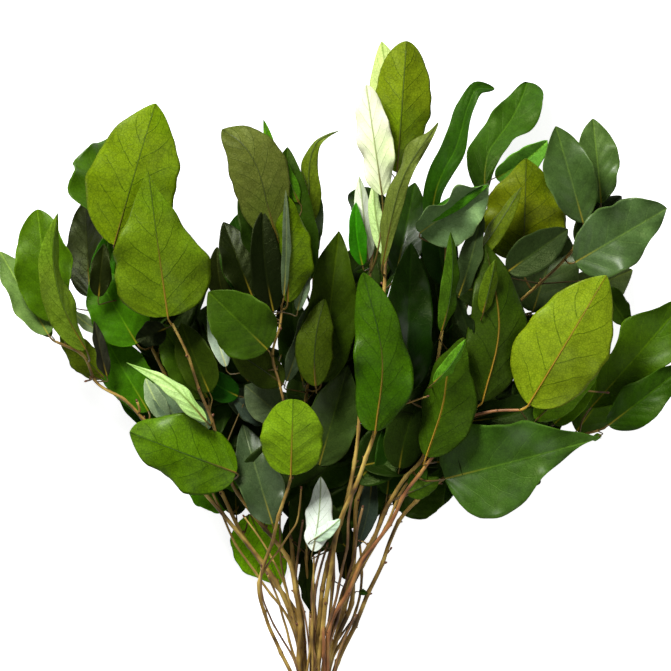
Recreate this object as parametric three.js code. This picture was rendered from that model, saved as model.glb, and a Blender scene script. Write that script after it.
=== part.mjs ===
// A bunch of salal: twelve cut stems with their leathery leaves, gathered and held by a rubber
// band, laid down on a table. Millimetres: +Y runs from the cut ends to the leaf tips, +Z is up.
import * as THREE from "three";

// The band's middle, and how the stems pack inside it: three in the core, nine round them.
const band = { x: -18, y: 64, z: 13.7, inner: 12.1, thick: 1.5, turnWidth: 4, turns: 3 };
const coreRing = 3.4;
const outerRing = 9.5;
const bandStraight = 12; // how far the stems run side by side before and after the band
const cutSpread = 1.25; // how much wider the cut ends stand than the stems in the band

const stemAtCut = 2.15; // radius
const stemAtTip = 1.0; // radius
const stemSides = 8;
const stemStep = 24; // length between two rings of a stem

const stalkRadius = 1.1;
const stalkRings = [0.2, 0.6, 0.96]; // places along the leaf stalk, from the blade
const bladeRings = [0.02, 0.1, 0.22, 0.35, 0.49, 0.63, 0.76, 0.88, 0.96]; // places along the midrib
const bladeHalfThick = 0.35;
const ribHeight = 0.9; // the midrib stands out under the blade
const touchGap = 0.35; // between a leaf stalk and its stem

const upwards = new THREE.Vector3(0, 0, 1);
const colours = {
  upper: "#27491c", // glossy upper face
  under: "#7c9a2b", // pale matt underside
  stem: "#8a6a35",
  redStem: "#9a4f3c",
  band: "#b99a66",
};

function vec([x, y, z]) {
  return new THREE.Vector3(x, y, z);
}

// A closed skin over a row of rings with equal counts, ending in a point at each end.
function skin(first, rings, last) {
  const count = rings[0].length;
  const points = [first, ...rings.flat(), last];
  const end = points.length - 1;
  const at = (ring, i) => 1 + ring * count + (i % count);
  const faces = [];
  for (let i = 0; i < count; i++) {
    faces.push(0, at(0, i + 1), at(0, i));
    for (let ring = 0; ring + 1 < rings.length; ring++) {
      faces.push(at(ring, i), at(ring, i + 1), at(ring + 1, i));
      faces.push(at(ring, i + 1), at(ring + 1, i + 1), at(ring + 1, i));
    }
    faces.push(end, at(rings.length - 1, i), at(rings.length - 1, i + 1));
  }
  if (volume(points, faces) < 0) faces.reverse();
  const geometry = new THREE.BufferGeometry().setFromPoints(points);
  geometry.setIndex(faces);
  geometry.computeVertexNormals();
  return geometry;
}

function volume(points, faces) {
  let sum = 0;
  for (let i = 0; i < faces.length; i += 3) {
    const [a, b, c] = [points[faces[i]], points[faces[i + 1]], points[faces[i + 2]]];
    sum += a.dot(b.clone().cross(c)) / 6;
  }
  return sum;
}

function named(name, geometry, colour, roughness) {
  const material = new THREE.MeshStandardMaterial({ color: colour, roughness, metalness: 0 });
  const mesh = new THREE.Mesh(geometry, material);
  mesh.name = name;
  return mesh;
}

// Where a stem stands in the band: turn is in degrees from +X towards +Z.
function slotPoint(radius, turn, y) {
  const angle = THREE.MathUtils.degToRad(turn);
  return vec([band.x + radius * Math.cos(angle), y, band.z + radius * Math.sin(angle)]);
}

function stemCurve({ ring, turn, cut, route }) {
  return new THREE.CatmullRomCurve3(
    [
      slotPoint(ring * cutSpread, turn, cut),
      slotPoint(ring, turn, band.y - bandStraight),
      slotPoint(ring, turn, band.y + bandStraight),
      ...route.map(vec),
    ],
    false,
    "centripetal",
  );
}

function stemRadius(along, slender) {
  return slender * THREE.MathUtils.lerp(stemAtCut, stemAtTip, along);
}

function stemMesh(name, curve, slender, colour) {
  const steps = Math.round(curve.getLength() / stemStep);
  const rings = [];
  for (let step = 0; step <= steps; step++) {
    const along = step / steps;
    const centre = curve.getPointAt(along);
    const tangent = curve.getTangentAt(along);
    const normal = upwards.clone().addScaledVector(tangent, -upwards.dot(tangent)).normalize();
    const side = tangent.clone().cross(normal);
    const ring = [];
    for (let i = 0; i < stemSides; i++) {
      const angle = (2 * Math.PI * i) / stemSides;
      const out = side.clone().multiplyScalar(Math.cos(angle)).addScaledVector(normal, Math.sin(angle));
      ring.push(centre.clone().addScaledVector(out, stemRadius(along, slender)));
    }
    rings.push(ring);
  }
  return named(name, skin(curve.getPointAt(0), rings, curve.getPointAt(1)), colour, 0.6);
}

// The place on a stem from which a stalk reaches the blade: a little below the nearest point.
function stalkFoot(curve, slender, base) {
  const samples = 400;
  const length = curve.getLength();
  let nearest = 0;
  let distance = Infinity;
  for (let i = 0; i <= samples; i++) {
    const gap = curve.getPointAt(i / samples).distanceTo(base);
    if (gap < distance) [nearest, distance] = [i / samples, gap];
  }
  const along = Math.max(0, nearest - (0.5 * distance) / length);
  if (nearest === 1 && distance < 12) {
    const out = curve.getTangentAt(1);
    return { foot: curve.getPointAt(1).addScaledVector(out, touchGap), out };
  }
  const root = curve.getPointAt(along);
  const tangent = curve.getTangentAt(along);
  const way = base.clone().sub(root).normalize();
  const out = way.clone().addScaledVector(tangent, -way.dot(tangent)).normalize();
  const clear = stemRadius(along, slender) + touchGap + stalkRadius * Math.abs(way.dot(tangent));
  return { foot: root.addScaledVector(out, clear), out };
}

// A blade's outline: half its width at a place along the midrib, as a share of the widest. It is
// s^blunt (1 - s)^taper, so a small blunt gives a broad base and a large taper a drawn-out tip.
function outline(s, blunt, taper) {
  const widest = blunt / (blunt + taper);
  const shape = (x) => x ** blunt * (1 - x) ** taper;
  return shape(s) / shape(widest);
}

// The blade's upward direction along a curve, carried on from the curve's start without twist.
function carriedUp(curve, places, start) {
  let tangent = curve.getTangentAt(0);
  const up = start.clone();
  return places.map((place) => {
    const next = curve.getTangentAt(place);
    up.applyQuaternion(new THREE.Quaternion().setFromUnitVectors(tangent, next));
    tangent = next;
    return up.clone();
  });
}

// One leaf: a round stalk that opens into a thin blade with a midrib under it.
// base, via and tip lie on the midrib; width is the widest; shows is the face that looks up;
// roll and twist (from base to tip) turn the blade about its midrib, fold is the angle of each
// half to the flat and curl how much further its edge turns, all in degrees; arch lifts the
// middle of the midrib, as a share of the leaf's length.
function leafGeometry(stem, leaf) {
  const { width, shows = "upper", via = [], blunt = 0.55, taper = 0.85 } = leaf;
  const { roll = 0, twist = 0, fold = 8, curl = 10, arch = 0.06 } = leaf;
  const base = vec(leaf.base);
  const tip = vec(leaf.tip);
  const lift = upwards.clone().multiplyScalar(arch * base.distanceTo(tip));
  const middle = via.length ? via.map(vec) : [base.clone().lerp(tip, 0.5).add(lift)];
  const midrib = new THREE.CatmullRomCurve3([base, ...middle, tip], false, "centripetal");
  const face = shows === "upper" ? 1 : -1;

  const start = midrib.getTangentAt(0);
  const flat = upwards.clone().addScaledVector(start, -upwards.dot(start)).normalize();
  const turned = (up, tangent, s) => {
    const angle = THREE.MathUtils.degToRad(roll + twist * (s - 0.5));
    const faced = up.clone().applyAxisAngle(tangent, angle).multiplyScalar(face);
    return { up: faced, side: tangent.clone().cross(faced) };
  };

  const { foot, out } = stalkFoot(stem.curve, stem.slender, base);
  const reach = foot.distanceTo(base) / 3;
  const backwards = new THREE.CubicBezierCurve3(
    base,
    base.clone().addScaledVector(start, -reach),
    foot.clone().addScaledVector(out, reach),
    foot,
  );
  const stalkUps = carriedUp(backwards, stalkRings, flat);
  const stalk = stalkRings.map((place, k) => {
    const centre = backwards.getPointAt(place);
    const { up, side } = turned(stalkUps[k], backwards.getTangentAt(place).negate(), 0);
    return [...Array(8).keys()].map((i) => {
      const angle = Math.PI - (i * Math.PI) / 4;
      const way = side.clone().multiplyScalar(Math.cos(angle)).addScaledVector(up, Math.sin(angle));
      return centre.clone().addScaledVector(way, stalkRadius);
    });
  });

  const inner = THREE.MathUtils.degToRad(fold + curl * 0.25);
  const outer = THREE.MathUtils.degToRad(fold + curl * 0.75);
  const bladeUps = carriedUp(midrib, bladeRings, flat);
  const blade = bladeRings.map((s, k) => {
    const centre = midrib.getPointAt(s);
    const { up, side } = turned(bladeUps[k], midrib.getTangentAt(s), s);
    const half = (width / 2) * outline(s, blunt, taper);
    const at = (across, thick) => {
      const near = Math.min(Math.abs(across), 0.5) * half;
      const far = Math.max(Math.abs(across) - 0.5, 0) * half;
      const sideways = Math.sign(across) * (near * Math.cos(inner) + far * Math.cos(outer));
      const rise = near * Math.sin(inner) + far * Math.sin(outer);
      const lean = -Math.sign(across) * inner;
      return centre
        .clone()
        .addScaledVector(side, sideways + thick * Math.sin(lean))
        .addScaledVector(up, rise + thick * Math.cos(lean));
    };
    const rib = -bladeHalfThick - ribHeight * (1 - s);
    return [
      at(-1, 0),
      at(-0.5, bladeHalfThick),
      at(0, bladeHalfThick),
      at(0.5, bladeHalfThick),
      at(1, 0),
      at(0.5, -bladeHalfThick),
      at(0, rib),
      at(-0.5, -bladeHalfThick),
    ];
  });
  const rings = [...stalk.reverse(), ...blade];
  return skin(foot, rings, tip);
}

// The stems, from left to right across the bunch, each with its leaves from its tip downwards.
const stems = {
  a: {
    ring: coreRing, turn: 180, cut: 4,
    route: [
      [-31, 144, 21], [-52, 188, 32], [-88, 233, 46], [-120, 272, 58], [-144, 302, 64],
      [-166, 323, 68], [-181, 332, 70], [-188, 349, 74], [-211, 362, 80],
    ],
    leaves: [
      { base: [-216, 367, 80], tip: [-254, 430, 60], width: 31, roll: 10 },
      { base: [-213, 377, 84], tip: [-224, 461, 84], width: 44, roll: -10, taper: 0.65 },
      {
        base: [-187, 356, 94], via: [[-203, 388, 112], [-210, 425, 122]], tip: [-206, 457, 126],
        width: 24, shows: "under", roll: 35, fold: 20,
      },
      { base: [-142, 309, 56], tip: [-181, 374, 42], width: 36, roll: 10 },
    ],
  },
  b: {
    ring: outerRing, turn: 200, cut: -3,
    route: [
      [-29, 147, 13], [-46, 176, 17], [-58, 192, 20], [-81, 233, 28], [-109, 288, 38],
      [-139, 356, 50], [-161, 412, 62], [-166, 430, 68],
    ],
    leaves: [
      { base: [-167, 434, 74], tip: [-135, 540, 92], width: 70, shows: "under", blunt: 0.6, taper: 0.8 },
      { base: [-180, 457, 42], tip: [-172, 520, 0], width: 50, roll: 10, taper: 0.7 },
      { base: [-187, 396, 42], tip: [-193, 471, 2], width: 34, roll: -20 },
      { base: [-150, 360, 68], tip: [-183, 416, 62], width: 44 },
      { base: [-74, 243, 19], tip: [-118, 262, 15], width: 40 },
      { base: [-66, 230, 14], tip: [-43, 174, 2], width: 38, shows: "under", roll: -10 },
    ],
  },
  c: {
    ring: outerRing, turn: 160, cut: 8,
    route: [
      [-28, 120, 24], [-28, 150, 31], [-36, 195, 42], [-54, 221, 47], [-75, 247, 54], [-94, 303, 72],
      [-112, 352, 92], [-123, 375, 104],
    ],
    leaves: [
      { base: [-125, 380, 112], tip: [-139, 489, 128], width: 74, shows: "under", blunt: 0.42, taper: 1.08 },
      { base: [-97, 320, 66], tip: [-132, 376, 72], width: 34 },
      {
        base: [-97, 302, 88], via: [[-112, 319, 95], [-128, 333, 94]], tip: [-157, 346, 86], width: 17,
        shows: "under", roll: 20, fold: 20, curl: 30, taper: 1.2,
      },
      { base: [-75, 263, 70], tip: [-155, 294, 84], width: 54, shows: "under", blunt: 0.45, taper: 0.5 },
      { base: [-48, 224, 62], tip: [-71, 299, 44], width: 34 },
    ],
  },
  d: {
    ring: outerRing, turn: 120, cut: 12, slender: 0.8,
    route: [
      [-38, 118, 31], [-54, 153, 41], [-58, 176, 48], [-44, 227, 66], [-35, 260, 80],
      [-36, 290, 86], [-41, 326, 90], [-47, 352, 94], [-40, 387, 98], [-41, 426, 100],
    ],
    leaves: [
      {
        base: [-43, 434, 102], via: [[-51, 463, 108], [-59, 492, 112], [-70, 509, 110]],
        tip: [-85, 520, 104], width: 42, shows: "under", blunt: 0.6, taper: 0.5,
      },
      { base: [-36, 391, 110], tip: [-36, 470, 122], width: 38, shows: "under", roll: -25, fold: 35 },
      { base: [-51, 356, 106], tip: [-95, 399, 114], width: 48 },
      { base: [-62, 393, 82], tip: [-85, 452, 70], width: 36, roll: 15 },
      { base: [-38, 303, 68], tip: [-69, 329, 60], width: 30 },
      { base: [-34, 262, 92], tip: [-32, 319, 106], width: 48, shows: "under", blunt: 0.38, taper: 0.48 },
    ],
  },
  e: {
    ring: outerRing, turn: 240, cut: 0,
    route: [
      [-26, 147, 7], [-33, 192, 13], [-34, 246, 24], [-26, 296, 36], [-19, 356, 50],
      [-17, 412, 60],
    ],
    leaves: [
      {
        base: [-22, 450, 78], via: [[-20, 472, 88], [-20, 492, 96], [-14, 511, 98]], tip: [4, 520, 98],
        width: 18, shows: "under", roll: -20, fold: 10, curl: 20, blunt: 0.45, taper: 1.3,
      },
      { base: [-11, 331, 64], tip: [2, 445, 78], width: 42, roll: 10 },
      { base: [-13, 268, 44], tip: [9, 344, 56], width: 40 },
    ],
  },
  f: {
    ring: coreRing, turn: 60, cut: 10,
    route: [
      [-13, 150, 27], [-7, 192, 37], [5, 230, 46], [15, 278, 58], [19, 333, 72], [23, 393, 86],
      [28, 436, 96],
    ],
    leaves: [
      { base: [34, 470, 126], tip: [22, 551, 138], width: 27, shows: "under", roll: -10, taper: 0.6 },
      { base: [45, 412, 70], tip: [60, 483, 34], width: 34 },
    ],
  },
  g: {
    ring: outerRing, turn: 80, cut: 5,
    route: [
      [-10, 146, 38], [-4, 191, 54], [2, 224, 68], [15, 256, 84], [27, 289, 98],
      [34, 348, 106], [36, 412, 112], [45, 481, 116],
    ],
    leaves: [
      { base: [45, 487, 120], tip: [52, 584, 130], width: 47, shows: "under", blunt: 0.6, taper: 0.55, fold: 20 },
      {
        base: [34, 418, 126], via: [[42, 457, 138], [51, 486, 146]], tip: [75, 523, 150], width: 21,
        shows: "under", roll: -30, fold: 15, taper: 0.6,
      },
      {
        base: [29, 295, 112], via: [[34, 350, 126]], tip: [20, 413, 126], width: 43,
        shows: "under", blunt: 0.45, taper: 0.7,
      },
    ],
  },
  h: {
    ring: outerRing, turn: 0, cut: -5,
    route: [
      [-6, 128, 27], [-4, 147, 31], [2, 160, 34], [18, 195, 42], [34, 224, 48], [47, 253, 58], [67, 277, 70],
      [73, 318, 80], [79, 371, 88], [82, 423, 94], [79, 459, 98],
    ],
    leaves: [
      {
        base: [70, 449, 96], via: [[76, 480, 104], [90, 508, 110], [97, 534, 113], [104, 549, 112]],
        tip: [118, 550, 104], width: 24, roll: -20, fold: 12, blunt: 0.45, taper: 0.6,
      },
      { base: [62, 443, 104], tip: [113, 479, 113], width: 50, fold: 30, roll: 30 },
      { base: [52, 324, 84], tip: [56, 436, 92], width: 40 },
      { base: [81, 259, 84], tip: [198, 290, 98], width: 69, blunt: 0.34, taper: 1.0 },
    ],
  },
  i: {
    ring: outerRing, turn: 40, cut: 14, colour: colours.redStem,
    route: [
      [-7, 115, 30], [-5, 146, 36], [4, 162, 41], [20, 195, 52], [40, 224, 64], [55, 253, 76],
      [79, 284, 88], [94, 303, 94], [107, 311, 97], [118, 309, 99], [137, 311, 103],
    ],
    leaves: [
      { base: [143, 315, 108], tip: [200, 411, 124], width: 68, shows: "under", blunt: 0.55, taper: 0.8 },
      {
        base: [109, 317, 102], via: [[121, 372, 110]], tip: [111, 435, 108], width: 46,
        shows: "under", roll: 10,
      },
      { base: [67, 276, 104], via: [[79, 314, 112], [84, 344, 117]], tip: [95, 365, 120], width: 50,
        shows: "under", fold: 25, roll: -25 },
    ],
  },
  j: {
    ring: outerRing, turn: 320, cut: 7,
    route: [
      [2, 118, 12], [15, 147, 18], [32, 186, 26], [50, 228, 36], [79, 256, 46], [124, 277, 58],
      [169, 288, 68], [196, 295, 76],
    ],
    leaves: [
      { base: [204, 299, 80], tip: [266, 348, 88], width: 38 },
      { base: [192, 312, 64], tip: [262, 393, 76], width: 44, blunt: 0.8, taper: 0.75 },
      { base: [182, 294, 50], tip: [222, 344, 8], width: 40, taper: 0.7 },
      { base: [52, 229, 22], tip: [81, 266, 16], width: 36 },
    ],
  },
  k: {
    ring: coreRing, turn: 300, cut: 2,
    route: [
      [-2, 128, 19], [11, 160, 24], [14, 208, 31], [16, 240, 36], [36, 288, 46], [86, 341, 58],
      [131, 386, 72], [158, 410, 84], [176, 430, 93], [184, 442, 98],
    ],
    leaves: [
      { base: [184, 450, 104], tip: [163, 522, 112], width: 38, blunt: 0.75 },
      { base: [198, 465, 94], tip: [192, 529, 88], width: 33, blunt: 0.75 },
      { base: [178, 421, 100], tip: [246, 461, 108], width: 51, blunt: 0.6, taper: 0.65 },
      { base: [140, 423, 84], tip: [142, 499, 92], width: 64, shows: "under", blunt: 0.45, taper: 0.85 },
      { base: [148, 384, 66], tip: [169, 450, 62], width: 52 },
      { base: [160, 388, 46], tip: [228, 417, 0], width: 42 },
    ],
  },
  l: {
    ring: outerRing, turn: 280, cut: 11,
    route: [
      [0, 130, 6], [8, 165, 9], [25, 200, 14], [41, 243, 20], [68, 303, 25], [94, 371, 29],
      [109, 431, 33], [113, 468, 36],
    ],
    leaves: [
      {
        base: [113, 472, 44], via: [[113, 490, 37], [117, 508, 30], [129, 524, 22], [139, 541, 14]],
        tip: [147, 561, 6], width: 28, roll: -10, blunt: 0.35, taper: 0.32,
      },
    ],
  },
};

// A flat band wound a few times round the stems: its section has one rounded ridge a turn.
function bandMesh() {
  const outline = [new THREE.Vector2(band.inner, 0)];
  for (let turn = 0; turn < band.turns; turn++) {
    const start = turn * band.turnWidth;
    outline.push(new THREE.Vector2(band.inner + band.thick * 0.6, start));
    outline.push(new THREE.Vector2(band.inner + band.thick, start + band.turnWidth / 2));
  }
  const width = band.turns * band.turnWidth;
  outline.push(new THREE.Vector2(band.inner + band.thick * 0.6, width));
  outline.push(new THREE.Vector2(band.inner, width));
  outline.push(outline[0].clone());
  const geometry = new THREE.LatheGeometry(outline, 28);
  const mesh = named("rubber_band", geometry, colours.band, 0.7);
  mesh.position.set(band.x, band.y - width / 2, band.z);
  return mesh;
}

const pieces = new THREE.Group();
pieces.add(bandMesh());
for (const [letter, stem] of Object.entries(stems)) {
  const { colour = colours.stem, slender = 1 } = stem;
  const curve = stemCurve(stem);
  const branch = new THREE.Group();
  branch.add(stemMesh(`stem_${letter}`, curve, slender, colour));
  stem.leaves.forEach((leaf, i) => {
    const face = leaf.shows === "under" ? colours.under : colours.upper;
    branch.add(named(`leaf_${letter}${i + 1}`, leafGeometry({ curve, slender }, leaf), face, 0.45));
  });
  pieces.add(branch);
}

// The origin is the middle of the footprint, on the table.
const box = new THREE.Box3().setFromObject(pieces);
const middle = box.getCenter(new THREE.Vector3());
pieces.position.set(-middle.x, -middle.y, -box.min.z);

const bunch = new THREE.Group();
bunch.add(pieces);
export default bunch;
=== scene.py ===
import math
import random
import bmesh
import bpy
import numpy as np
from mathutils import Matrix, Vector


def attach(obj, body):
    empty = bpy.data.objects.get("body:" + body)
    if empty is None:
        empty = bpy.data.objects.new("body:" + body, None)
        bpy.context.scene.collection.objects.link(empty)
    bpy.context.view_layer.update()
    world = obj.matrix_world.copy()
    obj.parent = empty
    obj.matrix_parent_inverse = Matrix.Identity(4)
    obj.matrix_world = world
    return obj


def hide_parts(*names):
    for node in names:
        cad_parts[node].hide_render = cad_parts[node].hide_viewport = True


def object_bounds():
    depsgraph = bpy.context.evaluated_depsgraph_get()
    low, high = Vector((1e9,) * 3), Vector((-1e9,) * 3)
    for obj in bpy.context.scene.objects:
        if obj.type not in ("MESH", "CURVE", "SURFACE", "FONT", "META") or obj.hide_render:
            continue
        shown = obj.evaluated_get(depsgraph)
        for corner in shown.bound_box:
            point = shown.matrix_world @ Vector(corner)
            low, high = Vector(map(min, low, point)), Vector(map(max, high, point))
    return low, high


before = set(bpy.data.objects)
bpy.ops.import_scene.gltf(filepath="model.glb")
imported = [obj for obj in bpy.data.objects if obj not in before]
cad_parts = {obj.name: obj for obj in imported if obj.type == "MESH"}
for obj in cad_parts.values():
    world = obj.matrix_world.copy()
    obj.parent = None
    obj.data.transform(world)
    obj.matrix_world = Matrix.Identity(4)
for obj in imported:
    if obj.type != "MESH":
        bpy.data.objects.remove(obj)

for left_over in ("Cube", "Light", "Camera"):
    if left_over in bpy.data.objects:
        bpy.data.objects.remove(bpy.data.objects[left_over])
cad_low, cad_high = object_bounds()
scene = bpy.context.scene
scene.view_settings.view_transform = "Standard"

# ---------------------------------------------------------------- the view
# The bunch lies on a table and is seen from straight above with a long lens. The frame's lower
# edge crosses the gathered stems, and the tips of the outer leaves reach its left and right edge.
view_width = 0.968 * (cad_high.x - cad_low.x)
view_middle = Vector((-0.0061, 0.077, 0))
view_height = 3.2  # above the middle of the leaves
leaf_middle = 0.075
camera = bpy.data.objects.new("camera", bpy.data.cameras.new("camera"))
scene.collection.objects.link(camera)
camera.location = (view_middle.x, view_middle.y, leaf_middle + view_height)
camera.data.sensor_width = 36
camera.data.lens = camera.data.sensor_width * view_height / view_width
camera.data.clip_end = 20
scene.camera = camera

# ---------------------------------------------------------------- stems
# Twelve thin woody shoots cut from the bush, about 4 mm thick at the cut and tapering upwards. The
# bark is olive to brown and a little ridged. Each stem bends slightly at every node, where a leaf
# sat or sits, and the wood shows pale at the cut.
ring_sides = 8  # corners in each ring of a CAD stem or leaf


def skin_rings(node):
    """The rings of corners round a CAD stem or leaf, in step with each other, and its two ends."""
    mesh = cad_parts[node].data
    corners = np.array([v.co for v in mesh.vertices])
    points, index = np.unique(np.round(corners, 6), axis=0, return_inverse=True)
    index = index.reshape(-1)
    near = [set() for _ in points]
    for face in mesh.polygons:
        a, b, c = (index[i] for i in face.vertices)
        near[a] |= {b, c}
        near[b] |= {a, c}
        near[c] |= {a, b}
    ends = [i for i, others in enumerate(near) if len(others) == ring_sides]

    def levels(start):
        seen = {start}
        level = {start}
        found = []
        while True:
            level = set().union(*(near[i] for i in level)) - seen
            seen |= level
            if len(level) < ring_sides:
                return found
            found.append(level)

    def walk(level, start, second):
        order = [start, second]
        while len(order) < ring_sides:
            order.append(next(i for i in near[order[-1]] & level if i != order[-2]))
        return order

    def aligned(found, start, second):
        rows = [walk(found[0], start, second)]
        for level in found[1:]:
            pairs = zip(rows[-1], rows[-1][1:] + rows[-1][:1])
            rows.append([next(iter(near[a] & near[b] & level)) for a, b in pairs])
        return rows

    def spreads(rings):
        return sum(np.ptp(points[sorted(ring)], axis=0).max() for ring in rings)

    foot, tip = ends
    if spreads(levels(tip)[:3]) < spreads(levels(foot)[:3]):
        foot, tip = tip, foot
    found = levels(foot)
    start = min(found[0])
    ways = [aligned(found, start, i) for i in near[start] & found[0]]
    rows = min(ways, key=lambda way: np.linalg.norm(np.diff(points[np.array(way)], axis=0), axis=2).sum())
    return points[foot], points[np.array(rows)], points[tip]


def reach_along(points):
    """How far along the path through them each point lies."""
    return np.concatenate([[0], np.cumsum(np.linalg.norm(np.diff(points, axis=0), axis=1))])


def smooth_path(points, count):
    """A Catmull-Rom curve through points, sampled evenly along its length."""
    points = np.asarray(points, float)
    padded = np.vstack([2 * points[0] - points[1], points, 2 * points[-1] - points[-2]])
    fine = []
    for i in range(len(points) - 1):
        a, b, c, d = padded[i : i + 4]
        for t in np.arange(12) / 12:
            cubic = (2 * a - 5 * b + 4 * c - d) * t * t + (3 * b - a - 3 * c + d) * t**3
            fine.append(0.5 * (2 * b + (c - a) * t + cubic))
    fine = np.array(fine + [points[-1]])
    reach = reach_along(fine)
    at = np.linspace(0, reach[-1], count)
    return np.stack([np.interp(at, reach, fine[:, k]) for k in range(3)], axis=1), reach[-1]


def tube(path, radii, sides):
    """Corners and faces of a closed round tube along a path. Its two end faces come last."""
    path = np.asarray(path)
    ahead = np.gradient(path, axis=0)
    ahead /= np.linalg.norm(ahead, axis=1, keepdims=True) + 1e-12
    across = np.cross(ahead[0], (0.3, 0.2, 0.93))
    across /= np.linalg.norm(across)
    turn = np.arange(sides) * 2 * math.pi / sides
    corners = []
    for i, centre in enumerate(path):
        across = across - ahead[i] * across.dot(ahead[i])
        across /= np.linalg.norm(across)
        other = np.cross(ahead[i], across)
        corners.append(centre + radii[i] * (np.outer(np.cos(turn), across) + np.outer(np.sin(turn), other)))
    faces = []
    for i in range(0, (len(path) - 1) * sides, sides):
        for k in range(sides):
            n = (k + 1) % sides
            faces.append((i + k, i + n, i + sides + n, i + sides + k))
    faces.append(tuple(range(sides))[::-1])
    faces.append(tuple((len(path) - 1) * sides + k for k in range(sides)))
    return np.vstack(corners), faces


def make_piece(name, corners, faces, slots=(), face_slots=None, smooth=True):
    mesh = bpy.data.meshes.new(name)
    mesh.from_pydata([tuple(c) for c in corners], [], faces)
    for material in slots:
        mesh.materials.append(material)
    if face_slots is not None:
        mesh.polygons.foreach_set("material_index", face_slots)
    mesh.polygons.foreach_set("use_smooth", [smooth] * len(mesh.polygons))
    piece = bpy.data.objects.new(name, mesh)
    scene.collection.objects.link(piece)
    return piece


def give(piece, name, values, kind="FLOAT"):
    """Stores one value or vector for each corner, for the material to read."""
    attribute = piece.data.attributes.new(name, kind, "POINT")
    key = "value" if kind == "FLOAT" else "vector"
    attribute.data.foreach_set(key, np.asarray(values, np.float32).reshape(-1))


def right_way_out(piece):
    shell = bmesh.new()
    shell.from_mesh(piece.data)
    bmesh.ops.recalc_face_normals(shell, faces=shell.faces)
    shell.to_mesh(piece.data)
    shell.free()


def linear(code):
    """A colour written as in a paint chart, such as 8a6a35, as the linear values of a shader."""
    parts = [int(code[i : i + 2], 16) / 255 for i in (0, 2, 4)]
    return tuple(c / 12.92 if c <= 0.04045 else ((c + 0.055) / 1.055) ** 2.4 for c in parts) + (1,)


def new_material(name):
    material = bpy.data.materials.new(name)
    material.use_nodes = True
    nodes = material.node_tree.nodes
    return material, nodes, nodes["Principled BSDF"]


def plug(node, inputs):
    """Gives each named or numbered input of a node its value, or the output that feeds it."""
    for key, value in inputs.items():
        if isinstance(value, bpy.types.NodeSocket):
            node.id_data.links.new(value, node.inputs[key])
        else:
            node.inputs[key].default_value = value


def add(nodes, kind, inputs=None, **settings):
    """A new shader or geometry node, with its settings and inputs."""
    node = nodes.new(kind)
    for key, value in settings.items():
        setattr(node, key, value)
    plug(node, inputs or {})
    return node


def maths(nodes, operation, *terms):
    return add(nodes, "ShaderNodeMath", dict(enumerate(terms)), operation=operation).outputs[0]


def mixed(nodes, kind, factor, colour, other):
    inputs = {"Factor": factor, 6: colour, 7: other}
    return add(nodes, "ShaderNodeMix", inputs, data_type="RGBA", blend_type=kind).outputs[2]


def given(nodes, name, output="Vector"):
    """What give() stored on the piece under this name."""
    return add(nodes, "ShaderNodeAttribute", attribute_name=name).outputs[output]


def noise(nodes, place, scale, detail, roughness=0.5):
    inputs = {"Vector": place, "Scale": scale, "Detail": detail, "Roughness": roughness}
    return add(nodes, "ShaderNodeTexNoise", inputs).outputs["Fac"]


def ramp(nodes, factor, stops):
    node = add(nodes, "ShaderNodeValToRGB", {"Fac": factor})
    elements = node.color_ramp.elements
    elements.remove(elements[1])
    for i, (place, colour) in enumerate(stops):
        element = elements[0] if i == 0 else elements.new(place)
        element.position = place
        element.color = linear(colour)
    return node.outputs["Color"]


def relief(nodes, height, strength, depth, sunken=False):
    inputs = {"Height": height, "Strength": strength, "Distance": depth}
    return add(nodes, "ShaderNodeBump", inputs, invert=sunken).outputs["Normal"]


def bark_material(name, dark, middle, light):
    """Bark with streaks along the stem and larger patches."""
    material, nodes, shader = new_material(name)
    stretch = add(nodes, "ShaderNodeMapping", {"Vector": given(nodes, "bark"), "Scale": (3.0, 90, 1)})
    streaks = noise(nodes, stretch.outputs["Vector"], 1.0, 4)
    patches = noise(nodes, add(nodes, "ShaderNodeTexCoord").outputs["Object"], 60, 3)
    both = maths(nodes, "MULTIPLY_ADD", streaks, 0.5, maths(nodes, "MULTIPLY", patches, 0.5))
    colour = ramp(nodes, both, [(0.38, dark), (0.5, middle), (0.62, light)])
    plug(shader, {"Base Color": colour, "Normal": relief(nodes, both, 0.5, 0.0004), "Roughness": 0.5})
    return material


def speckled_material(name, scale, detail, stops, roughness, strength=0.0):
    """Two shades that run into each other in spots, and may stand out a little."""
    material, nodes, shader = new_material(name)
    spots = noise(nodes, add(nodes, "ShaderNodeTexCoord").outputs["Object"], scale, detail)
    plug(shader, {"Base Color": ramp(nodes, spots, stops), "Roughness": roughness})
    if strength:
        plug(shader, {"Normal": relief(nodes, spots, strength, 0.0003)})
    return material


bark = bark_material("bark_olive", "584220", "a4823a", "dabb5e")
red_bark = bark_material("bark_red", "5c3820", "a56c3e", "c6944c")
brown_bark = bark_material("bark_brown", "4a3424", "84623e", "b8925a")
cut_wood = speckled_material("cut_wood", 1400, 4, [(0.3, "8f7a4c"), (0.7, "d8c896")], 0.8)

stem_sides = 14
stem_step = 0.0022  # from one ring of corners to the next
node_gap = (0.02, 0.036)  # from one leaf node to the next
node_swelling = 0.25  # share of the stem's radius
node_length = 0.0018
node_bend = 0.001


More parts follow.
